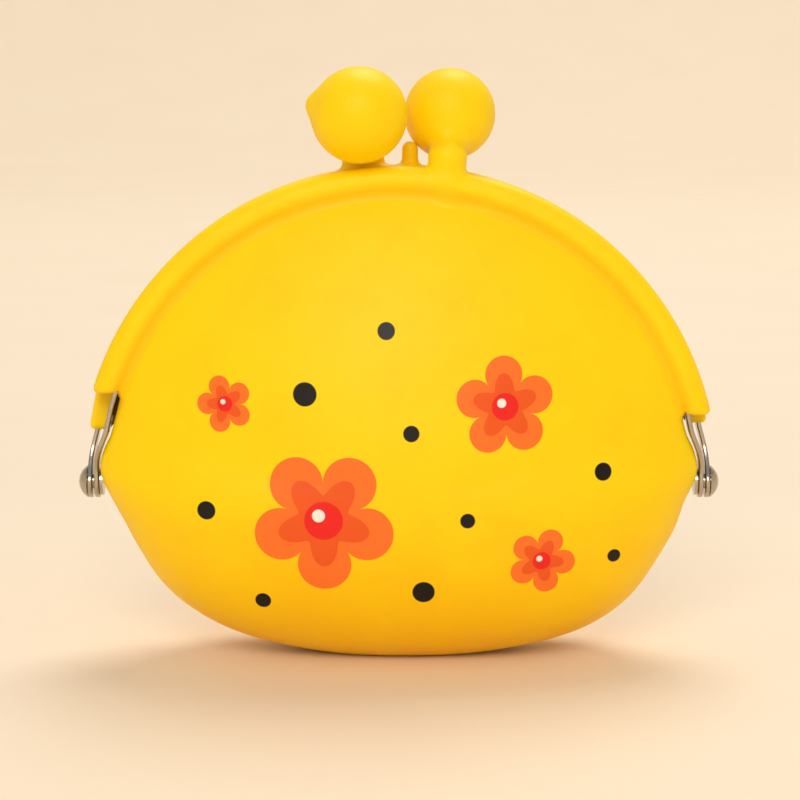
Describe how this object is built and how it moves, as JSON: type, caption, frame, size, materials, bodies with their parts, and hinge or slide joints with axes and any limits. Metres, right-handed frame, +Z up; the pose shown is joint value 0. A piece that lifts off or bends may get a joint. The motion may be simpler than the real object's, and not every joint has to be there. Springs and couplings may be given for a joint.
{
  "type": "squeeze coin purse",
  "caption": "Upright moulded silicone coin purse with a hinged steel kiss-lock frame, rounded rims and crossing ball clasp.",
  "frame": {"origin": "middle of the flat foot that the purse stands on", "axes": "+Z up, the front faces -Y, +X to the right seen from the front"},
  "size_m": [0.107, 0.041, 0.0976],
  "materials": {
    "silicone": "satin moulded silicone, bright yellow",
    "nickel_plated_steel": "bright nickel plate"
  },
  "bodies": {
    "pouch": {"pouch_base": "silicone", "front_flex_band": "silicone", "rear_flex_band": "silicone"},
    "front_half": {"front_wall": "silicone", "front_rim": "silicone", "front_steel_frame": "nickel_plated_steel", "front_clasp_stem": "nickel_plated_steel", "front_metal_ball": "nickel_plated_steel", "front_ball_cover": "silicone", "hinge_rivets": "nickel_plated_steel"},
    "rear_half": {"rear_wall": "silicone", "rear_rim": "silicone", "rear_steel_frame": "nickel_plated_steel", "rear_clasp_stem": "nickel_plated_steel", "rear_metal_ball": "nickel_plated_steel", "rear_ball_cover": "silicone"}
  },
  "joints": [
    {"name": "front_half_swing", "type": "hinge", "parent": "pouch", "child": "front_half", "pos_m": [0, 0, 0.0287], "axis": [1, 0, 0], "range_deg": [0, 35], "deforming": ["front_flex_band"]},
    {"name": "rear_half_swing", "type": "hinge", "parent": "pouch", "child": "rear_half", "pos_m": [0, 0, 0.0287], "axis": [-1, 0, 0], "range_deg": [0, 35], "deforming": ["rear_flex_band"]}
  ],
  "couplings": [
    {"joint": "rear_half_swing", "follows": "front_half_swing", "ratio": 1}
  ]
}
